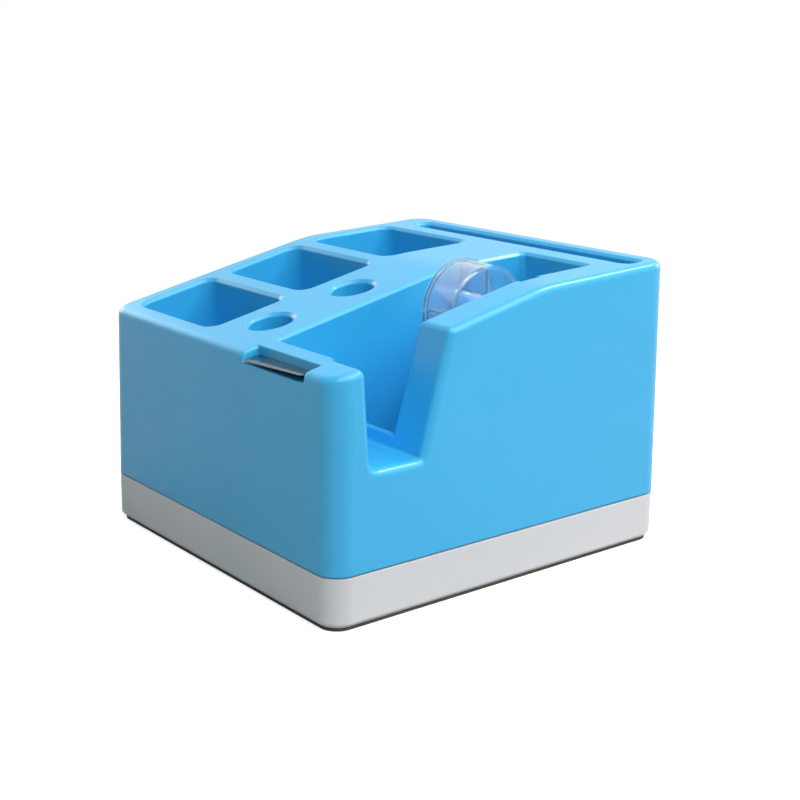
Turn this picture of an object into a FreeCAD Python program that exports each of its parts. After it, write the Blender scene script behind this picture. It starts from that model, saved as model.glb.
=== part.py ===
import FreeCAD, Part
import math
import os

# Desk organizer with a tape dispenser: a blue moulded shell with three compartments, two pen
# holes, a card slot and a tape channel, screwed onto a weighted white base.
# Millimetres. +X is the side with the finger notch, -Y is the face that carries the cutter and
# +Z is up. The origin is the centre of the footprint, on the surface the organizer stands on.

V = FreeCAD.Vector
UP = V(0, 0, 1)

# Distances that count as touching, and by which a cutter passes the face that it opens
touching = 0.01
overshoot = 1.0

# Share of a unit normal above which a face looks that way, and below which it looks across
facing = 0.9
across = 0.3
sharp_turn = 0.6

# Footprint, base tray and non-slip pad
body_width = 105.0
body_length = 112.0
corner_radius = 6.0
least_corner_radius = 1.0
pad_thickness = 1.0
pad_inset = 1.2
base_height = 12.4
base_wall = 2.4
base_floor = 2.2
base_edge_bevel = 1.0
seam_gap = 0.3
lip_thickness = 1.2
lip_height = 2.4
lip_clearance = 0.2
lip_root_depth = 3.5
lip_root_overlap = 0.1

# Shell skin and deck. The deck climbs from the front, then runs almost level to the rear.
# Margins are measured from the faces of the body at the seam.
shell_wall = 2.4
pocket_wall = 1.8
shell_lean_deg = 0.93
pocket_lean_deg = 0.5
deck_break_margin = 65.5
deck_break_height = 75.1
front_slope_deg = 13.0
rear_slope_deg = 3.15
deck_blend_radius = 50.0
outer_edge_round = 2.0
opening_rim_bevel = 0.8

# Card slot along the rear
card_slot_left_margin = 10.5
card_slot_right_margin = 5.3
card_slot_rear_margin = 6.6
card_slot_width = 6.2
card_slot_corner = 2.5
card_slot_floor_height = 32.0

# Compartments, in a row from front to rear on the left; the rear one fills what is left
compartment_left_margin = 6.8
compartment_front_margin = 6.4
compartment_to_channel = 24.15
compartment_to_card_slot = 6.8
front_compartment_lengths = (22.6, 23.5)
compartment_dividers = (5.7, 5.3)
compartment_corner = 3.5
compartment_floor_height = 24.0

# Pen holes, between the compartments and the channel
pen_hole_to_channel = 12.55
pen_hole_front_margins = (16.8, 42.4)
pen_hole_radius = 5.6
pen_hole_floor_height = 17.0

# Tape channel: a shelf behind the cutter, then a well that the tape roll hangs in
channel_width = 24.75
channel_right_margin = 12.0
channel_front_margin = 10.3
channel_to_card_slot = 7.5
channel_corner = 1.5
shelf_height = 37.7
well_lip_height = 3.3
well_lip_round = 0.6
well_floor_height = 17.0

# Finger notch through the right wall, level with the shelf
notch_overlap = 1.2
notch_length = 14.6
notch_front_step = 1.5
notch_front_lean_deg = 4.0
notch_back_lean_deg = 15.6
notch_front_round = 2.5
notch_back_round = 1.0

# Tape spool on its axle
axle_to_channel_back = 23.1
axle_depth = 11.07
axle_radius = 3.2
axle_slot_depth = 2.1
axle_slot_clearance = 0.1
axle_end_play = 0.25
axle_chamfer = 0.5
spool_side_gap = 0.5
spool_drum_radius = 12.4
spool_drum_width = 10.7
spool_drum_wall = 1.1
spool_flange_radius = 13.0
spool_flange_thickness = 0.8
spool_hub_wall = 1.4
spool_bore_clearance = 0.08
spool_rib_count = 4
spool_rib_thickness = 0.9
spool_rib_setback = 0.6

# Serrated cutter, pushed into a slit at the back of its recess. The slit has a little play,
# so the strip sits slightly askew in it, with its right end high.
recess_beside_channel = 0.85
recess_front_margin = 5.6
recess_depth = 3.67
recess_side_round = 0.9
recess_side_gap = 0.75
blade_width = 23.6
blade_thickness = 0.5
blade_reach = 1.5
blade_rise_deg = 5.5
blade_skew_deg = 2.0
blade_slit_depth = 3.0
blade_end_gap = 0.3
tooth_count = 24
tooth_depth = 0.8

# Screws that hold the base to the shell, and their columns and bosses
left_screws_inset = 7.7
left_screws_front_inset = 11.6
left_screws_rear_inset = 14.4
right_screws_front_inset = 8.7
right_screws_rear_inset = 9.7
screw_radius = 1.5
screw_length = 14.0
screw_head_radius = 2.9
screw_head_height = 2.0
screw_head_recess = 2.8
screw_hole_clearance = 0.2
pilot_end_gap = 0.5
screw_slot_width = 0.8
screw_slot_length = 3.5
screw_slot_depth = 1.0
column_wall = 1.4
boss_width = 7.2
boss_clearance = 0.2
boss_height = 20.0
boss_rib_thickness = 1.6

# Ballast plate in the base, with the ribs and posts that hold it
ballast_column_gap = 2.5
ballast_end_margin = 12.0
ballast_thickness = 7.0
ballast_corner = 3.0
ballast_chamfer = 0.8
ballast_clearance = 0.3
fence_thickness = 1.6
fence_height = 4.0
fence_length = 12.0
post_width = 4.4
post_clearance = 0.1
post_inset = 8.0

# Slopes, heights and places that follow from the sizes above
shell_lean = math.tan(math.radians(shell_lean_deg))
pocket_lean = math.tan(math.radians(pocket_lean_deg))
front_slope = math.tan(math.radians(front_slope_deg))
rear_slope = math.tan(math.radians(rear_slope_deg))
clear_height = deck_break_height + body_length
left_face_x = -body_width / 2
right_face_x = body_width / 2
front_face_y = -body_length / 2
rear_face_y = body_length / 2
deck_break_y = front_face_y + deck_break_margin


def deck_height(y):
    """Height of the deck above the resting surface at a depth y."""
    slope = front_slope if y < deck_break_y else rear_slope
    return deck_break_height + slope * (y - deck_break_y)


base_bottom = pad_thickness
base_top = base_bottom + base_height
shell_bottom = base_top + seam_gap
card_slot_front_y = rear_face_y - card_slot_rear_margin - card_slot_width
channel_right_x = right_face_x - channel_right_margin
channel_left_x = channel_right_x - channel_width
channel_middle_x = (channel_left_x + channel_right_x) / 2
channel_front_y = front_face_y + channel_front_margin
channel_back_y = card_slot_front_y - channel_to_card_slot
notch_left_x = channel_right_x - notch_overlap
notch_front_y = channel_front_y + notch_front_step
notch_back_y = notch_front_y + notch_length
lip_front_y = notch_back_y + well_lip_height * math.tan(math.radians(notch_back_lean_deg))
well_front_y = lip_front_y + pocket_wall
compartment_left_x = left_face_x + compartment_left_margin
compartment_right_x = channel_left_x - compartment_to_channel
compartment_front_y = front_face_y + compartment_front_margin
compartment_back_y = card_slot_front_y - compartment_to_card_slot
axle_y = channel_back_y - axle_to_channel_back
axle_height = deck_height(axle_y) - axle_depth
recess_left_x = channel_left_x - recess_beside_channel
recess_width = blade_width + 2 * recess_side_gap
recess_back_y = front_face_y + recess_front_margin
recess_floor_height = deck_height(recess_back_y) - recess_depth
screw_shoulder = base_bottom + screw_head_recess + screw_head_height
column_width = 2 * (screw_head_radius + screw_hole_clearance + column_wall)
left_screws_x = compartment_left_x + left_screws_inset
right_screws_x = (
    right_face_x - shell_wall - lip_clearance - lip_thickness - boss_clearance - boss_width / 2
)
screw_places = [
    (left_screws_x, compartment_front_y + left_screws_front_inset),
    (left_screws_x, compartment_back_y - left_screws_rear_inset),
    (right_screws_x, channel_front_y + right_screws_front_inset),
    (right_screws_x, channel_back_y - right_screws_rear_inset),
]
ballast_bottom = base_bottom + base_floor
ballast_top = ballast_bottom + ballast_thickness
ballast_left_x = left_screws_x + column_width / 2 + ballast_column_gap
ballast_right_x = right_screws_x - column_width / 2 - ballast_column_gap
ballast_back_y = rear_face_y - ballast_end_margin
post_bottom = ballast_top + post_clearance

document = FreeCAD.newDocument("organizer")


def box(x0, x1, y0, y1, z0, z1):
    return Part.makeBox(x1 - x0, y1 - y0, z1 - z0, V(x0, y0, z0))


def cylinder(radius, x, y, z0, z1):
    return Part.makeCylinder(radius, z1 - z0, V(x, y, z0), UP)


def square_bar(width, x, y, z0, z1):
    return box(x - width / 2, x + width / 2, y - width / 2, y + width / 2, z0, z1)


def side_profile(corners, x, width):
    """A bar along X from a closed side view of (y, z, corner radius) points."""
    points = [V(x, y, z) for y, z, radius in corners]
    edges = []
    ends = []
    for index, (y, z, radius) in enumerate(corners):
        point = points[index]
        arriving = (point - points[index - 1]).normalize()
        leaving = (points[(index + 1) % len(points)] - point).normalize()
        half_turn = arriving.getAngle(leaving) / 2
        run = radius * math.tan(half_turn)
        start = point - arriving * run
        end = point + leaving * run
        ends.append((start, end))
        if radius > 0:
            inward = (leaving - arriving).normalize()
            middle = point + inward * radius * (1 / math.cos(half_turn) - 1)
            edges.append(Part.Arc(start, middle, end).toShape())
    for index, (start, end) in enumerate(ends):
        edges.append(Part.LineSegment(ends[index - 1][1], start).toShape())
    return Part.Face(Part.Wire(Part.__sortEdges__(edges))).extrude(V(width, 0, 0))


def leaning_box(x0, x1, y0, y1, z0, z1, lean, z_full):
    """A box with its full size at z_full, whose sides lean inwards with height."""
    low = (z0 - z_full) * lean
    high = (z1 - z_full) * lean
    wedge = Part.makeWedge(x0 + low, z0, -y1 + low, -y1 + high, x0 + high,
                           x1 - low, z1, -y0 - low, -y0 - high, x1 - high)
    wedge.rotate(V(0, 0, 0), V(1, 0, 0), 90)
    return wedge


def upright_edges(shape):
    """The edges that run up a block's corners from its lowest face."""
    lowest = min(vertex.Z for vertex in shape.Vertexes)
    chosen = []
    for edge in shape.Edges:
        heights = sorted(vertex.Z for vertex in edge.Vertexes)
        if heights[0] < lowest + touching and heights[-1] > lowest + overshoot / 2:
            chosen.append(edge)
    return chosen


def lowest_edges(shape):
    lowest = min(vertex.Z for vertex in shape.Vertexes)
    return [edge for edge in shape.Edges
            if max(vertex.Z for vertex in edge.Vertexes) < lowest + touching]


def leaning_block(x0, x1, y0, y1, radius, z0, z1, lean, z_full):
    """A leaning box with round corners."""
    block = leaning_box(x0, x1, y0, y1, z0, z1, lean, z_full)
    return block.makeFillet(radius, upright_edges(block))


def filleted(shape, groups):
    """Round several groups of edges, each by its own radius, in one go."""
    base = document.addObject("Part::Feature", "base")
    base.Shape = shape
    fillet = document.addObject("Part::Fillet", "fillet")
    fillet.Base = base
    edges = []
    for radius, chosen in groups:
        for number, edge in enumerate(shape.Edges, 1):
            if any(edge.isSame(other) for other in chosen):
                edges.append((number, radius, radius))
    fillet.Edges = edges
    document.recompute()
    return fillet.Shape.copy()


def above_deck(drop):
    """Everything above the deck surface lowered by drop, with the break blended round."""
    ahead = -body_length
    behind = body_length
    return side_profile([
        (ahead, deck_height(ahead) - drop, 0),
        (deck_break_y, deck_break_height - drop, deck_blend_radius),
        (behind, deck_height(behind) - drop, 0),
        (behind, clear_height, 0),
        (ahead, clear_height, 0),
    ], -body_width, 2 * body_width)


def body_box(inset, z0, z1):
    """The footprint, drawn in by inset and leaning inwards above the seam."""
    half_width = body_width / 2 - inset
    half_length = body_length / 2 - inset
    return leaning_box(-half_width, half_width, -half_length, half_length,
                       z0, z1, shell_lean, shell_bottom)


def compartment_rows():
    """Front and rear edge of each compartment, from front to rear."""
    rows = []
    front = compartment_front_y
    for length, divider in zip(front_compartment_lengths, compartment_dividers):
        rows.append((front, front + length))
        front += length + divider
    return rows + [(front, compartment_back_y)]


def pocket(x0, x1, y0, y1, radius, floor, wall):
    """A pocket open upwards, full size at the deck; wall > 0 gives the block that lines it."""
    return leaning_block(x0 - wall, x1 + wall, y0 - wall, y1 + wall, radius + wall, floor - wall,
                         clear_height, -pocket_lean, deck_height((y0 + y1) / 2))


def compartments(wall):
    return [pocket(compartment_left_x, compartment_right_x, front, back, compartment_corner,
                   compartment_floor_height, wall) for front, back in compartment_rows()]


def card_slot(wall):
    return [pocket(left_face_x + card_slot_left_margin, right_face_x - card_slot_right_margin,
                   card_slot_front_y, card_slot_front_y + card_slot_width, card_slot_corner,
                   card_slot_floor_height, wall)]


def pen_holes(wall):
    x = channel_left_x - pen_hole_to_channel
    return [cylinder(pen_hole_radius + wall, x, front_face_y + margin,
                     pen_hole_floor_height - wall, clear_height) for margin in pen_hole_front_margins]


def notch(wall):
    """The finger notch through the right wall: level below, both ends leaning outwards."""
    low = shelf_height - wall
    rise = clear_height - low
    front = notch_front_y - wall
    back = notch_back_y + wall
    return side_profile([
        (front - rise * math.tan(math.radians(notch_front_lean_deg)), clear_height, 0),
        (front, low, notch_front_round + wall),
        (back, low, notch_back_round + wall),
        (back + rise * math.tan(math.radians(notch_back_lean_deg)), clear_height, 0),
    ], notch_left_x - wall, body_width)


def channel_block(wall):
    return pocket(channel_left_x, channel_right_x, channel_front_y, channel_back_y,
                  channel_corner, well_floor_height, wall)


def channel():
    """The tape channel: a shelf in front, then a low lip and the deep well behind it."""
    ahead = -body_length
    lip_top = shelf_height + well_lip_height
    shelf = side_profile([
        (ahead, 0, 0),
        (ahead, shelf_height, 0),
        (notch_back_y, shelf_height, notch_back_round),
        (lip_front_y, lip_top, well_lip_round),
        (well_front_y, lip_top, well_lip_round),
        (well_front_y, 0, 0),
    ], -body_width, 2 * body_width)
    return channel_block(0).cut(shelf)


def channel_lining():
    """The tape channel with its walls; what lies below the shelf is hollow."""
    below = box(-body_width, body_width, -body_length, well_front_y - pocket_wall,
                0, shelf_height - pocket_wall)
    return channel_block(pocket_wall).cut(below)


def axle_slots(wall):
    """U-shaped slots in both channel walls that the axle drops into."""
    half = axle_radius + axle_slot_clearance + wall
    x0 = channel_left_x - axle_slot_depth - wall
    x1 = channel_right_x + axle_slot_depth + wall
    round_part = Part.makeCylinder(half, x1 - x0, V(x0, axle_y, axle_height), V(1, 0, 0))
    return round_part.fuse(box(x0, x1, axle_y - half, axle_y + half, axle_height, clear_height))


def recess(wall):
    """The recess in the front wall's top edge that the cutter lies in."""
    return box(recess_left_x - wall, recess_left_x + recess_width + wall, -body_length,
               recess_back_y + wall, recess_floor_height - wall, clear_height)


def blade_slit_height():
    skew = math.radians(blade_skew_deg)
    return blade_thickness * math.cos(skew) + blade_width * math.sin(skew)


def blade_slit(wall):
    middle = recess_left_x + recess_width / 2
    half = blade_width / 2 + blade_end_gap + wall
    return box(middle - half, middle + half, recess_back_y - overshoot,
               recess_back_y + blade_slit_depth + wall,
               recess_floor_height - wall, recess_floor_height + blade_slit_height() + wall)


def screw_bosses():
    """Bosses under the shell that the screws bite into; the right pair is ribbed to the wall."""
    bosses = []
    skin = pocket_wall / 2
    for x, y in screw_places:
        if x < channel_left_x:
            top = compartment_floor_height - skin
        elif y < well_front_y:
            top = shelf_height - skin
        else:
            top = shell_bottom + boss_height
        bosses.append(square_bar(boss_width, x, y, shell_bottom, top))
        if x > channel_left_x:
            bosses.append(box(x, right_face_x - shell_wall, y - boss_rib_thickness / 2,
                              y + boss_rib_thickness / 2, shell_bottom + lip_height + seam_gap, top))
    return bosses


def ballast_posts():
    """Posts that reach down from the pockets and keep the ballast plate in its place."""
    skin = pocket_wall / 2
    reach = ballast_back_y - post_inset
    low_places = [(ballast_left_x + post_inset, y) for y in (-reach, reach)]
    well_places = [(channel_middle_x, well_front_y + post_inset),
                   (channel_middle_x, channel_back_y - post_inset)]
    return (
        [square_bar(post_width, x, y, post_bottom, compartment_floor_height - skin)
         for x, y in low_places]
        + [square_bar(post_width, x, y, post_bottom, well_floor_height - skin) for x, y in well_places]
    )


def normal_at(face, point):
    u, v = face.Surface.parameter(point)
    return face.normalAt(u, v)


def bordering_normals(shape, edge):
    """The edge's midpoint and the normals there of the faces that it joins."""
    middle = edge.valueAt((edge.FirstParameter + edge.LastParameter) / 2)
    return middle, [normal_at(face, middle) for face in shape.ancestorsOfType(edge, Part.Face)]


def outer_rims(shape):
    """Sharp edges above the seam, apart from those where the notch ends inside the channel."""
    chosen = []
    for edge in shape.Edges:
        middle, normals = bordering_normals(shape, edge)
        sharp = len(normals) == 2 and normals[0].dot(normals[1]) < sharp_turn
        if sharp and middle.z > base_top + overshoot and abs(middle.x - notch_left_x) > touching:
            chosen.append(edge)
    return chosen


def deck_rims(shape):
    """Sharp edges where the deck meets the upright walls of its openings."""
    chosen = []
    for edge in shape.Edges:
        middle, normals = bordering_normals(shape, edge)
        tilts = sorted(abs(normal.z) for normal in normals)
        if middle.z > recess_floor_height and tilts[0] < across and tilts[-1] > facing:
            chosen.append(edge)
    return chosen


def recessed(body):
    """Cut the recess and round the rims at both its sides."""
    body = body.cut(recess(0))
    side_rims = []
    for edge in body.Edges:
        middle, normals = bordering_normals(body, edge)
        in_reach = recess_left_x - touching < middle.x < recess_left_x + recess_width + touching
        if in_reach and middle.y < recess_back_y and middle.z > recess_floor_height + touching:
            if max(abs(normal.x) for normal in normals) > facing:
                side_rims.append(edge)
    return body.makeFillet(recess_side_round, side_rims)


def opened_pockets():
    """All that is taken out of the body from above, with bevelled rims."""
    block = body_box(0, shell_bottom, clear_height).cut(above_deck(0))
    opened = block.cut(compartments(0) + pen_holes(0) + card_slot(0) + [channel()])
    return block.cut(opened.makeChamfer(opening_rim_bevel, deck_rims(opened)))


def organizer_shell():
    """The one-piece moulded shell, open below."""
    body = body_box(0, shell_bottom, clear_height).cut([above_deck(0), notch(0)])
    corners = upright_edges(body)
    rims = [edge for edge in outer_rims(body) if not any(edge.isSame(other) for other in corners)]
    body = filleted(body, [(corner_radius, corners), (outer_edge_round, rims)])
    shell = recessed(body).cut(opened_pockets())
    shell = shell.cut([axle_slots(0), blade_slit(0)])
    room = body_box(shell_wall, shell_bottom - overshoot, clear_height)
    room = room.makeFillet(corner_radius - shell_wall, upright_edges(room))
    room = room.cut(above_deck(shell_wall))
    lining = compartments(pocket_wall) + pen_holes(pocket_wall) + card_slot(pocket_wall)
    lining += [channel_lining(), notch(pocket_wall), axle_slots(pocket_wall)]
    lining += [recess(pocket_wall), blade_slit(pocket_wall)]
    shell = shell.cut(room.cut(lining))
    shell = shell.fuse(screw_bosses() + ballast_posts())
    pilot_top = screw_shoulder + screw_length + pilot_end_gap
    pilots = [cylinder(screw_radius, x, y, shell_bottom - overshoot, pilot_top) for x, y in screw_places]
    return shell.cut(pilots).removeSplitter()


def base_tray():
    """The white base: a shallow tray with a locating lip, screw columns and ballast ribs."""
    def upright(inset, z0, z1):
        half_width = body_width / 2 - inset
        half_length = body_length / 2 - inset
        return leaning_block(-half_width, half_width, -half_length, half_length,
                             max(corner_radius - inset, least_corner_radius), z0, z1, 0, z0)
    tray = upright(0, base_bottom, base_top)
    tray = tray.makeChamfer(base_edge_bevel, lowest_edges(tray))
    tray = tray.cut(upright(base_wall, base_bottom + base_floor, base_top + overshoot))
    lip_inner = shell_wall + lip_clearance + lip_thickness
    root = upright(base_wall - lip_root_overlap, base_top - lip_root_depth, base_top)
    rim = upright(shell_wall + lip_clearance, base_top - lip_root_depth, shell_bottom + lip_height)
    lip = root.fuse(rim).cut(upright(lip_inner, base_floor, clear_height))
    columns = [square_bar(column_width, x, y, base_bottom, shell_bottom) for x, y in screw_places]
    fence = ballast_fence()
    tray = tray.fuse([lip] + columns + fence)
    for x, y in screw_places:
        tray = tray.cut(cylinder(screw_head_radius + screw_hole_clearance, x, y, 0, screw_shoulder))
        tray = tray.cut(cylinder(screw_radius + screw_hole_clearance, x, y, 0, clear_height))
    return tray.removeSplitter()


def ballast_fence():
    """Short ribs on the tray's floor, two along each side of the ballast plate."""
    left = ballast_left_x - ballast_clearance
    right = ballast_right_x + ballast_clearance
    end = ballast_back_y + ballast_clearance
    low = base_bottom + base_floor / 2
    high = ballast_bottom + fence_height
    ribs = []
    for side in (-1, 1):
        y = side * ballast_back_y / 2
        for x in (left - fence_thickness, right):
            ribs.append(box(x, x + fence_thickness, y - fence_length / 2, y + fence_length / 2, low, high))
        x = (ballast_left_x + ballast_right_x) / 2 + side * (ballast_right_x - ballast_left_x) / 4
        for y in (-end - fence_thickness, end):
            ribs.append(box(x - fence_length / 2, x + fence_length / 2, y, y + fence_thickness, low, high))
    return ribs


def ballast_plate():
    plate = leaning_block(ballast_left_x, ballast_right_x, -ballast_back_y, ballast_back_y,
                          ballast_corner, ballast_bottom, ballast_top, 0, 0)
    level = [edge for edge in plate.Edges if edge.BoundBox.ZLength < touching]
    return plate.makeChamfer(ballast_chamfer, level)


def non_slip_pad():
    half_width = body_width / 2 - pad_inset
    half_length = body_length / 2 - pad_inset
    return leaning_block(-half_width, half_width, -half_length, half_length,
                         corner_radius - pad_inset, 0, pad_thickness, 0, 0)


def base_screws():
    """Four cheese-head screws, heads down in the base, as separate solids."""
    screws = []
    for x, y in screw_places:
        head_bottom = screw_shoulder - screw_head_height
        head = cylinder(screw_head_radius, x, y, head_bottom, screw_shoulder)
        half = screw_slot_width / 2
        reach = screw_slot_length / 2
        cross = box(x - reach, x + reach, y - half, y + half, 0, head_bottom + screw_slot_depth)
        cross = cross.fuse(box(x - half, x + half, y - reach, y + reach, 0,
                               head_bottom + screw_slot_depth))
        shank = cylinder(screw_radius, x, y, screw_shoulder, screw_shoulder + screw_length)
        screws.append(head.cut(cross).fuse(shank).removeSplitter())
    return Part.makeCompound(screws)


def tape_spool():
    """Clear spool: a drum closed on its left by a flange, with ribs and a hub inside."""
    along = V(1, 0, 0)

    def disc(radius, x0, x1):
        return Part.makeCylinder(radius, x1 - x0, V(x0, axle_y, axle_height), along)

    left = channel_left_x + spool_side_gap
    right = left + spool_drum_width
    inside = left + spool_flange_thickness
    inner_radius = spool_drum_radius - spool_drum_wall
    bore = axle_radius + spool_bore_clearance
    drum = disc(spool_drum_radius, left, right).fuse(disc(spool_flange_radius, left, inside))
    drum = drum.cut(disc(inner_radius, inside, right + overshoot))
    parts = [disc(bore + spool_hub_wall, left, right)]
    for index in range(spool_rib_count):
        rib = box(left, right - spool_rib_setback, axle_y - spool_rib_thickness / 2,
                  axle_y + spool_rib_thickness / 2, axle_height,
                  axle_height + inner_radius + spool_drum_wall / 2)
        rib.rotate(V(0, axle_y, axle_height), along, 360 * index / spool_rib_count)
        parts.append(rib)
    return drum.fuse(parts).cut(disc(bore, left - overshoot, right + overshoot)).removeSplitter()


def spool_axle():
    """Plain axle pin, its ends in the slots of the channel walls."""
    reach = channel_width / 2 + axle_slot_depth - axle_end_play
    pin = Part.makeCylinder(axle_radius, 2 * reach, V(channel_middle_x - reach, axle_y, axle_height),
                            V(1, 0, 0))
    rims = [edge for edge in pin.Edges if edge.BoundBox.XLength < touching]
    return pin.makeChamfer(axle_chamfer, rims)


def cutter_blade():
    """Toothed steel strip: a flat root in the slit and a rising front that overhangs the face."""
    middle_x = recess_left_x + recess_width / 2
    left = middle_x - blade_width / 2
    face_y = front_face_y + (recess_floor_height - shell_bottom) * shell_lean
    tip_y = face_y - blade_reach
    bend_y = recess_back_y
    pitch = blade_width / tooth_count
    outline = [V(left + blade_width, bend_y, 0), V(left, bend_y, 0)]
    for index in range(tooth_count):
        outline.append(V(left + index * pitch, tip_y + tooth_depth, 0))
        outline.append(V(left + (index + 0.5) * pitch, tip_y, 0))
    outline.append(V(left + blade_width, tip_y + tooth_depth, 0))
    front = Part.Face(Part.makePolygon(outline + outline[:1])).extrude(V(0, 0, blade_thickness))
    front.rotate(V(0, bend_y, 0), V(1, 0, 0), -blade_rise_deg)
    root = box(left, left + blade_width, bend_y, recess_back_y + blade_slit_depth, 0, blade_thickness)
    strip = root.fuse(front)
    strip.translate(V(-middle_x, 0, recess_floor_height + (blade_slit_height() - blade_thickness) / 2))
    strip.rotate(V(0, 0, recess_floor_height + blade_slit_height() / 2), V(0, 1, 0), -blade_skew_deg)
    strip.translate(V(middle_x, 0, 0))
    return strip.removeSplitter()


parts = {
    "organizer_shell": organizer_shell,
    "base_tray": base_tray,
    "non_slip_pad": non_slip_pad,
    "ballast_plate": ballast_plate,
    "base_screws": base_screws,
    "tape_spool": tape_spool,
    "spool_axle": spool_axle,
    "cutter_blade": cutter_blade,
}

os.makedirs("parts", exist_ok=True)
for name, make in parts.items():
    shape = make()
    shape.exportStep(os.path.join("parts", name + ".step"))
    print(name, len(shape.Solids), shape.isValid(), round(shape.Volume / 1000, 2), "cm3")
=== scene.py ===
import math

import bpy
from mathutils import Matrix, Vector


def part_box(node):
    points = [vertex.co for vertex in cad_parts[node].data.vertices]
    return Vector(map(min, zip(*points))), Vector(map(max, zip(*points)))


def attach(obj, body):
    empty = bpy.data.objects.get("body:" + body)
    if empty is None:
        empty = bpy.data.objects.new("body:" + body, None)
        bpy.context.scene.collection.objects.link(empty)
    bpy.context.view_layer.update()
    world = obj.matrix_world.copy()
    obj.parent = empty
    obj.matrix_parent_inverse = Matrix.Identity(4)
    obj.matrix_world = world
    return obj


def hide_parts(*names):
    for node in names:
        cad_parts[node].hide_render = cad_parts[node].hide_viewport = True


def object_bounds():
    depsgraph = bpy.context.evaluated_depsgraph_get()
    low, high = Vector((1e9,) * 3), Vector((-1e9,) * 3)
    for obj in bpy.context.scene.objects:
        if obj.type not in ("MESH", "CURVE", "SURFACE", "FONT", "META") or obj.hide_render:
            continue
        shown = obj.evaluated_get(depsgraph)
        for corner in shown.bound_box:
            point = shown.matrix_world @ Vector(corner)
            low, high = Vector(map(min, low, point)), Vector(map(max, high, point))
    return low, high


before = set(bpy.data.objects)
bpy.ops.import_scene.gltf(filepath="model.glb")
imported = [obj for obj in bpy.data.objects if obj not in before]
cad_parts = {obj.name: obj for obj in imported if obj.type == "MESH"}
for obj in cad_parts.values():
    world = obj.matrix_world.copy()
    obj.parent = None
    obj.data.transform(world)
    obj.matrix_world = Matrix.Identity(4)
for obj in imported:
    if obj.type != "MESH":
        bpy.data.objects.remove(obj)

cad_low, cad_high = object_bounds()
MM = 0.001

# Camera, looking at the front right corner
VIEW_AZIMUTH_DEG = 50.97
VIEW_ELEVATION_DEG = 14.896
VIEW_ROLL_DEG = 0.928
VIEW_DISTANCE = 0.3798
VIEW_TARGET = Vector((0.006958, 0.0, 0.03806))
LENS_MM = 63.0
SENSOR_MM = 36.0
NEAREST_SEEN = 0.01

# Floor: how much light it takes and passes on, how white it looks, and where it fades to plain white
FLOOR_SIZE = 6.0
FLOOR_COLOUR = (0.8, 0.8, 0.8, 1)
FLOOR_BOUNCE = (0.55, 0.55, 0.55, 1)
FLOOR_GLOW = 0.7
FLOOR_FADE_START = 0.12
FLOOR_FADE_END = 0.45

# World light on the object
WORLD_STRENGTH = 0.06
WHITE = (1, 1, 1, 1)

# Cutter, in mm. A pair is for its left and its right end; the rise is that of the part in front
# of the slit.
CUTTER_TEETH = 14
CUTTER_ROWS = 5
CUTTER_TOOTH_DEPTH = 1.3
CUTTER_GROUND = 1.5
CUTTER_GROUND_BLUR = 0.2
CUTTER_STREAK = 0.8
CUTTER_STREAK_SQUEEZE = (6.0, 1.0, 6.0)
CUTTER_THICKNESS = 0.2
CUTTER_WIDER = 0.2
CUTTER_REACH = 5.5
CUTTER_SET_BACK = 0.85
CUTTER_REAR_TOP = (59.0, 59.2)
CUTTER_RISE_DEG = (-6.4, 4.4)
SAME_PLACE = 0.01

# The part of a noise pattern's range that patches are made from; past it they are even
NOISE_LOW = 0.3
NOISE_HIGH = 0.7

# Moulded plastic: size of its clouds of colour and of its patches of gloss, in mm
CLOUD_SIZE = 38.0
GLOSS_PATCH = 9.0
PLASTIC_IOR = 1.54
POLYSTYRENE_IOR = 1.59


def linear(hex_colour):
    """An sRGB hex colour as linear RGBA."""
    channels = [int(hex_colour[i:i + 2], 16) / 255 for i in (1, 3, 5)]
    return [c / 12.92 if c <= 0.04045 else ((c + 0.055) / 1.055) ** 2.4 for c in channels] + [1.0]


def add_node(tree, kind, settings=None, links=None):
    """Adds a node. Settings go to its sockets by name or number, or else to its own properties."""
    node = tree.nodes.new(kind)
    for key, value in (settings or {}).items():
        if isinstance(key, int) or key in node.inputs:
            node.inputs[key].default_value = value
        else:
            setattr(node, key, value)
    for key, source in (links or {}).items():
        tree.links.new(source, node.inputs[key])
    return node


def new_material(name):
    """An empty node material; returns it with its tree, its shader and its object coordinates."""
    material = bpy.data.materials.new(name)
    material.use_nodes = True
    tree = material.node_tree
    tree.nodes.clear()
    shader = add_node(tree, "ShaderNodeBsdfPrincipled")
    add_node(tree, "ShaderNodeOutputMaterial", None, {"Surface": shader.outputs["BSDF"]})
    place = add_node(tree, "ShaderNodeTexCoord").outputs["Object"]
    return material, tree, shader, place


def mottled(tree, place, cell_mm, first, second, socket):
    """Two colours that run into each other in soft patches of cell_mm, into a colour socket."""
    patches = add_node(tree, "ShaderNodeTexNoise", {"Scale": 1 / (cell_mm * MM), "Detail": 3.0},
                       {"Vector": place})
    share = add_node(tree, "ShaderNodeMapRange", {"From Min": NOISE_LOW, "From Max": NOISE_HIGH},
                     {"Value": patches.outputs["Fac"]})
    mix = add_node(tree, "ShaderNodeMix", {"data_type": "RGBA", 6: linear(first), 7: linear(second)},
                   {0: share.outputs["Result"]})
    tree.links.new(mix.outputs[2], socket)


def uneven_gloss(tree, place, cell_mm, smooth, rough, socket):
    """Roughness that wanders between two values over cell_mm."""
    patches = add_node(tree, "ShaderNodeTexNoise", {"Scale": 1 / (cell_mm * MM), "Detail": 4.0},
                       {"Vector": place})
    value = add_node(tree, "ShaderNodeMapRange",
                     {"From Min": NOISE_LOW, "From Max": NOISE_HIGH, "To Min": smooth, "To Max": rough},
                     {"Value": patches.outputs["Fac"]})
    tree.links.new(value.outputs["Result"], socket)


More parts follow.
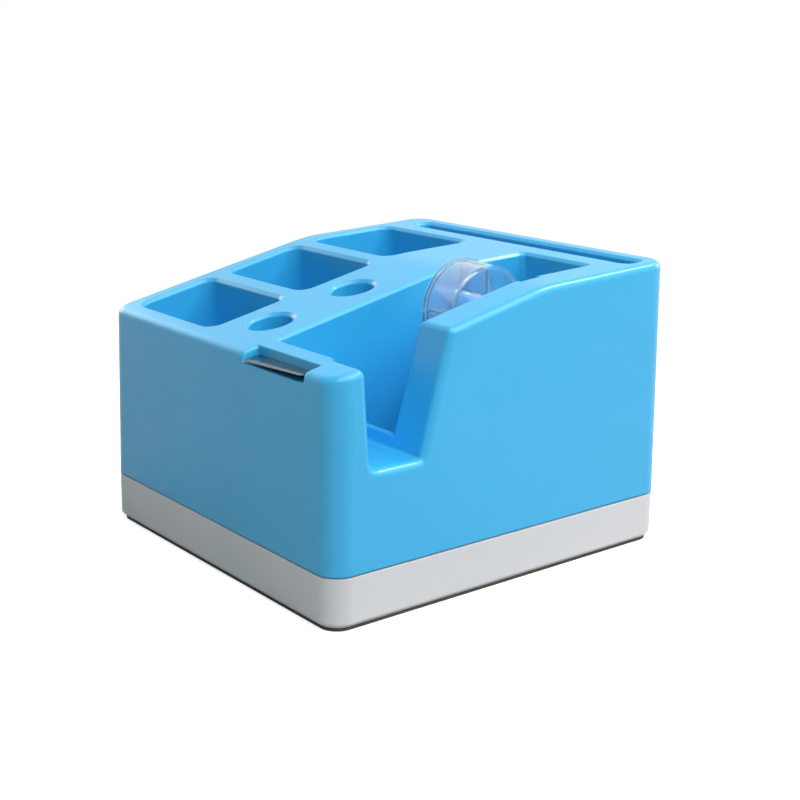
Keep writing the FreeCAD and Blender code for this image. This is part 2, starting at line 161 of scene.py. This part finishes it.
def moulded_plastic(name, main, shade, smooth, rough, grain_mm, grain_height_mm, edge_mm):
    """A surface with faint clouds of colour, an uneven gloss, a grain and softened edges."""
    material, tree, shader, place = new_material(name)
    mottled(tree, place, CLOUD_SIZE, main, shade, shader.inputs["Base Color"])
    uneven_gloss(tree, place, GLOSS_PATCH, smooth, rough, shader.inputs["Roughness"])
    shader.inputs["IOR"].default_value = PLASTIC_IOR
    soft_edge = add_node(tree, "ShaderNodeBevel", {"samples": 6, "Radius": edge_mm * MM})
    grain = add_node(tree, "ShaderNodeTexNoise", {"Scale": 1 / (grain_mm * MM), "Detail": 2.0},
                     {"Vector": place})
    bump = add_node(tree, "ShaderNodeBump", {"Strength": 0.3, "Distance": grain_height_mm * MM},
                    {"Height": grain.outputs["Fac"], "Normal": soft_edge.outputs["Normal"]})
    tree.links.new(bump.outputs["Normal"], shader.inputs["Normal"])
    return material


def clear_polystyrene():
    """Clear moulded polystyrene: a little milky, faintly blue, with flow marks that bend what is
    seen through it. Lamps shine through it, so that it casts hardly any shadow."""
    material, tree, shader, place = new_material("clear moulded polystyrene")
    mottled(tree, place, 6.0, "#E6EBF2", "#DCF0F8", shader.inputs["Base Color"])
    uneven_gloss(tree, place, 2.0, 0.05, 0.12, shader.inputs["Roughness"])
    shader.inputs["IOR"].default_value = POLYSTYRENE_IOR
    shader.inputs["Transmission Weight"].default_value = 0.93
    flow = add_node(tree, "ShaderNodeTexNoise", {"Scale": 1 / (3.0 * MM), "Detail": 1.0},
                    {"Vector": place})
    bump = add_node(tree, "ShaderNodeBump", {"Strength": 0.4, "Distance": 0.05 * MM},
                    {"Height": flow.outputs["Fac"]})
    tree.links.new(bump.outputs["Normal"], shader.inputs["Normal"])
    path = add_node(tree, "ShaderNodeLightPath")
    lamp_light = add_node(tree, "ShaderNodeBsdfTransparent", {"Color": linear("#E8EEF6")})
    seen = add_node(tree, "ShaderNodeMixShader", None,
                    {0: path.outputs["Is Shadow Ray"], 1: shader.outputs["BSDF"],
                     2: lamp_light.outputs["BSDF"]})
    output = tree.get_output_node("ALL")
    tree.links.new(seen.outputs["Shader"], output.inputs["Surface"])
    return material


def zinc_plated_steel():
    """Zinc plated steel: bare metal, greyish bright, with a faint mottling of the plating."""
    material, tree, shader, place = new_material("zinc plated steel")
    shader.inputs["Metallic"].default_value = 1.0
    mottled(tree, place, 1.2, "#B9BBC0", "#A4A7AD", shader.inputs["Base Color"])
    uneven_gloss(tree, place, 0.8, 0.29, 0.38, shader.inputs["Roughness"])
    return material


def cutter_steel():
    """Spring steel strip: rolled bright, so it mirrors the wall behind it, with fine streaks from
    front to rear, and dull grey along the teeth, where it is ground."""
    material, tree, shader, place = new_material("rolled spring steel strip, ground along the teeth")
    shader.inputs["Metallic"].default_value = 1.0
    along = add_node(tree, "ShaderNodeMapping", {"Scale": CUTTER_STREAK_SQUEEZE}, {"Vector": place})
    streaks = add_node(tree, "ShaderNodeTexNoise", {"Scale": 1 / (CUTTER_STREAK * MM), "Detail": 3.0},
                       {"Vector": along.outputs["Vector"]})
    depth = add_node(tree, "ShaderNodeSeparateXYZ", None, {"Vector": place})
    ground_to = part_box("cutter_blade")[0][1] + (CUTTER_SET_BACK + CUTTER_GROUND) * MM
    bright = add_node(tree, "ShaderNodeMapRange",
                      {"From Min": ground_to - CUTTER_GROUND_BLUR * MM,
                       "From Max": ground_to + CUTTER_GROUND_BLUR * MM},
                      {"Value": depth.outputs["Y"]})
    colour = add_node(tree, "ShaderNodeMix",
                      {"data_type": "RGBA", 6: linear("#88898C"), 7: linear("#8A8D90")},
                      {0: bright.outputs["Result"]})
    tree.links.new(colour.outputs[2], shader.inputs["Base Color"])
    ground, rolled = (
        add_node(tree, "ShaderNodeMapRange",
                 {"From Min": NOISE_LOW, "From Max": NOISE_HIGH, "To Min": smooth, "To Max": rough},
                 {"Value": streaks.outputs["Fac"]})
        for smooth, rough in ((0.4, 0.55), (0.12, 0.2)))
    gloss = add_node(tree, "ShaderNodeMix", None,
                     {0: bright.outputs["Result"], 2: ground.outputs["Result"],
                      3: rolled.outputs["Result"]})
    tree.links.new(gloss.outputs[0], shader.inputs["Roughness"])
    return material


finishes = {
    # Glossy ABS from a polished mould. It is nearly even, with soft highlights; the fine marks of
    # the mould are drawn as a slight waviness 4 mm wide, as coarse as they need to be to show.
    "organizer_shell": moulded_plastic("sky blue moulded ABS", main="#3AB7EE", shade="#36B3EA",
                                       smooth=0.285, rough=0.33, grain_mm=4.0,
                                       grain_height_mm=0.02, edge_mm=0.6),
    # The same plastic in white, from a duller mould, so its highlights are wider and weaker
    "base_tray": moulded_plastic("white moulded ABS", main="#DDDCE0", shade="#D8D7DB",
                                 smooth=0.36, rough=0.42, grain_mm=4.0,
                                 grain_height_mm=0.02, edge_mm=0.5),
    # Foam rubber cut from a sheet: matt and dark, with the skin's fine pores
    "non_slip_pad": moulded_plastic("dark foam rubber sheet", main="#4E4B47", shade="#5C5954",
                                    smooth=0.8, rough=0.9, grain_mm=0.8,
                                    grain_height_mm=0.06, edge_mm=0.1),
    # A sand casting under grey paint: matt and lumpy
    "ballast_plate": moulded_plastic("rough cast iron, painted grey", main="#4A4A4B", shade="#3C3B3B",
                                     smooth=0.6, rough=0.75, grain_mm=1.5,
                                     grain_height_mm=0.2, edge_mm=0.3),
    "base_screws": zinc_plated_steel(),
    "tape_spool": clear_polystyrene(),
    # The shell's plastic, on a pin with sharper edges
    "spool_axle": moulded_plastic("sky blue moulded ABS pin", main="#3AB7EE", shade="#36B3EA",
                                  smooth=0.285, rough=0.33, grain_mm=4.0,
                                  grain_height_mm=0.02, edge_mm=0.2),
    "cutter_blade": cutter_steel(),
}
for name, material in finishes.items():
    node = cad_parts[name]
    node.data.materials.clear()
    node.data.materials.append(material)


def mesh_step(operator, **settings):
    """One edit-mode step on what is selected."""
    bpy.ops.object.mode_set(mode="EDIT")
    operator(**settings)
    bpy.ops.object.mode_set(mode="OBJECT")


def pick_points(piece, wanted):
    """Selects the piece's points that a test on their place, in mm, picks out."""
    bpy.ops.object.mode_set(mode="EDIT")
    bpy.ops.mesh.select_mode(type="VERT")
    bpy.ops.mesh.select_all(action="DESELECT")
    bpy.ops.object.mode_set(mode="OBJECT")
    for point in piece.data.vertices:
        point.select = wanted(point.co / MM)


def serrated_cutter():
    """The cutter: a thin strip that comes out of the slit and ends in teeth, twisted along its
    length, so that its left end points down and its right end up."""
    low, high = (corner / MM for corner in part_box("cutter_blade"))
    left, right = low.x - CUTTER_WIDER, high.x + CUTTER_WIDER
    tip_y = low.y + CUTTER_SET_BACK
    bend_y = tip_y + CUTTER_REACH
    columns = 2 * CUTTER_TEETH
    step = (right - left) / columns

    # A flat grid from the teeth's tips to the rear of the slit
    bpy.ops.object.select_all(action="DESELECT")
    bpy.ops.mesh.primitive_grid_add(x_subdivisions=columns, y_subdivisions=CUTTER_ROWS, size=1)
    piece = bpy.context.object
    piece.name = "serrated_cutter"
    middle = Vector(((left + right) / 2, (tip_y + high.y) / 2, 0))
    mesh_step(bpy.ops.transform.resize, value=((right - left) * MM, (high.y - tip_y) * MM, 1))
    mesh_step(bpy.ops.transform.translate, value=middle * MM)

    # Teeth: every second point of the front edge moves back
    pick_points(piece, lambda at: (at.y < tip_y + SAME_PLACE
                                   and round((at.x - left) / step) % 2 == 0))
    mesh_step(bpy.ops.transform.translate, value=(0, CUTTER_TOOTH_DEPTH * MM, 0))

    # Twist: each column turns about the slit's mouth and goes up to its height there
    for column in range(columns + 1):
        x = left + column * step
        share = column / columns
        rise = CUTTER_RISE_DEG[0] + share * (CUTTER_RISE_DEG[1] - CUTTER_RISE_DEG[0])
        height = CUTTER_REAR_TOP[0] + share * (CUTTER_REAR_TOP[1] - CUTTER_REAR_TOP[0])
        pick_points(piece, lambda at: abs(at.x - x) < step / 2 and at.y < bend_y)
        mesh_step(bpy.ops.transform.rotate, value=math.radians(rise), orient_axis="X",
                  center_override=Vector((x, bend_y, 0)) * MM)
        pick_points(piece, lambda at: abs(at.x - x) < step / 2)
        mesh_step(bpy.ops.transform.translate, value=(0, 0, height * MM))

    thickness = piece.modifiers.new("thickness", "SOLIDIFY")
    thickness.thickness = CUTTER_THICKNESS * MM
    bpy.ops.object.modifier_apply(modifier=thickness.name)
    piece.data.materials.append(finishes["cutter_blade"])
    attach(piece, "housing")
    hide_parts("cutter_blade")


def seen_directly(tree):
    """1 for rays from the camera, off a gloss or through clear plastic, and 0 for light on surfaces."""
    path = add_node(tree, "ShaderNodeLightPath")
    seen = path.outputs["Is Camera Ray"]
    for kind in ("Is Glossy Ray", "Is Transmission Ray"):
        seen = add_node(tree, "ShaderNodeMath", {"operation": "MAXIMUM"},
                        {0: seen, 1: path.outputs[kind]}).outputs["Value"]
    return seen


def white_floor():
    """A floor that takes light and shadow near the object and fades to plain white further out.
    It throws a little less light back at the object than it shows."""
    bpy.ops.object.select_all(action="DESELECT")
    bpy.ops.mesh.primitive_plane_add(size=FLOOR_SIZE, location=(0, 0, 0))
    floor = bpy.context.object
    floor.name = "floor"
    paper = bpy.data.materials.new("white studio paper")
    paper.use_nodes = True
    tree = paper.node_tree
    tree.nodes.clear()
    lit = add_node(tree, "ShaderNodeBsdfDiffuse", {"Color": FLOOR_COLOUR}).outputs["BSDF"]
    bounce = add_node(tree, "ShaderNodeBsdfDiffuse", {"Color": FLOOR_BOUNCE}).outputs["BSDF"]
    path = add_node(tree, "ShaderNodeLightPath")
    level = add_node(tree, "ShaderNodeMath", {"operation": "MULTIPLY", 1: FLOOR_GLOW},
                     {0: path.outputs["Is Camera Ray"]})
    glow = add_node(tree, "ShaderNodeEmission", None,
                    {"Strength": level.outputs["Value"]}).outputs["Emission"]
    white = add_node(tree, "ShaderNodeEmission", {"Strength": 1.0}).outputs["Emission"]
    near = add_node(tree, "ShaderNodeAddShader", None, {0: lit, 1: glow}).outputs["Shader"]
    place = add_node(tree, "ShaderNodeTexCoord").outputs["Object"]
    reach = add_node(tree, "ShaderNodeVectorMath", {"operation": "LENGTH"}, {0: place})
    fade = add_node(tree, "ShaderNodeMapRange",
                    {"From Min": FLOOR_FADE_START, "From Max": FLOOR_FADE_END},
                    {"Value": reach.outputs["Value"]})
    shown = add_node(tree, "ShaderNodeMixShader", None,
                     {0: fade.outputs["Result"], 1: near, 2: white}).outputs["Shader"]
    paper_shader = add_node(tree, "ShaderNodeMixShader", None,
                            {0: seen_directly(tree), 1: bounce, 2: shown})
    add_node(tree, "ShaderNodeOutputMaterial", None, {"Surface": paper_shader.outputs["Shader"]})
    floor.data.materials.append(paper)


def studio_world():
    """White where it is seen, and a weak even light on the object."""
    world = bpy.data.worlds.new("studio")
    bpy.context.scene.world = world
    world.use_nodes = True
    tree = world.node_tree
    tree.nodes.clear()
    soft = add_node(tree, "ShaderNodeBackground", {"Color": WHITE, "Strength": WORLD_STRENGTH})
    white = add_node(tree, "ShaderNodeBackground", {"Color": WHITE, "Strength": 1.0})
    mix = add_node(tree, "ShaderNodeMixShader", None,
                   {0: seen_directly(tree), 1: soft.outputs[0], 2: white.outputs[0]})
    add_node(tree, "ShaderNodeOutputWorld", None, {"Surface": mix.outputs["Shader"]})


def softbox(name, place, size, power, colour):
    """A rectangular lamp that faces the middle of the object."""
    lamp = bpy.data.lights.new(name, "AREA")
    lamp.shape = "RECTANGLE"
    lamp.size, lamp.size_y = size
    lamp.energy = power
    lamp.color = colour
    holder = bpy.data.objects.new(name, lamp)
    bpy.context.scene.collection.objects.link(holder)
    holder.location = place
    aim = Vector((0, 0, (cad_low[2] + cad_high[2]) / 2))
    holder.rotation_euler = (aim - Vector(place)).to_track_quat("-Z", "Y").to_euler()


def turned_camera():
    """The camera on its line of sight, tilted a little about it."""
    azimuth = math.radians(VIEW_AZIMUTH_DEG)
    elevation = math.radians(VIEW_ELEVATION_DEG)
    roll = math.radians(VIEW_ROLL_DEG)
    back = Vector((math.sin(azimuth) * math.cos(elevation), -math.cos(azimuth) * math.cos(elevation),
                   math.sin(elevation)))
    level = Vector((math.cos(azimuth), math.sin(azimuth), 0))
    upright = back.cross(level)
    right = level * math.cos(roll) + upright * math.sin(roll)
    up = upright * math.cos(roll) - level * math.sin(roll)
    lens = bpy.data.cameras.new("camera")
    lens.lens = LENS_MM
    lens.sensor_width = SENSOR_MM
    lens.clip_start = NEAREST_SEEN
    camera = bpy.data.objects.new("camera", lens)
    bpy.context.scene.collection.objects.link(camera)
    turn = Matrix((right, up, back)).transposed().to_4x4()
    camera.matrix_world = Matrix.Translation(VIEW_TARGET + back * VIEW_DISTANCE) @ turn
    bpy.context.scene.camera = camera


serrated_cutter()
white_floor()
studio_world()
# The main light, from above and to the right
softbox("overhead", place=(0.3, -0.05, 0.75), size=(0.6, 0.6), power=3.3, colour=(1.0, 1.0, 0.98))
softbox("right", place=(0.6, 0.2, 0.6), size=(0.5, 0.5), power=2.6, colour=(1.0, 0.95, 0.92))
softbox("viewer_side", place=(0.5, -0.4, 0.6), size=(0.4, 0.4), power=1.25, colour=(0.7, 1.0, 0.98))
# A small lamp for the bright lines along the rims
softbox("rim", place=(0.234, 0.549, 0.72), size=(0.15, 0.15), power=2.8, colour=(1.0, 1.0, 1.0))
# Weak light on the left and the rear side
softbox("left_fill", place=(-0.75, -0.05, 0.3), size=(0.5, 0.3), power=1.5, colour=(1.0, 1.0, 1.0))
softbox("rear_fill", place=(0.1, 0.8, 0.3), size=(0.5, 0.3), power=1.5, colour=(1.0, 1.0, 1.0))
turned_camera()
bpy.context.scene.view_settings.view_transform = "Standard"
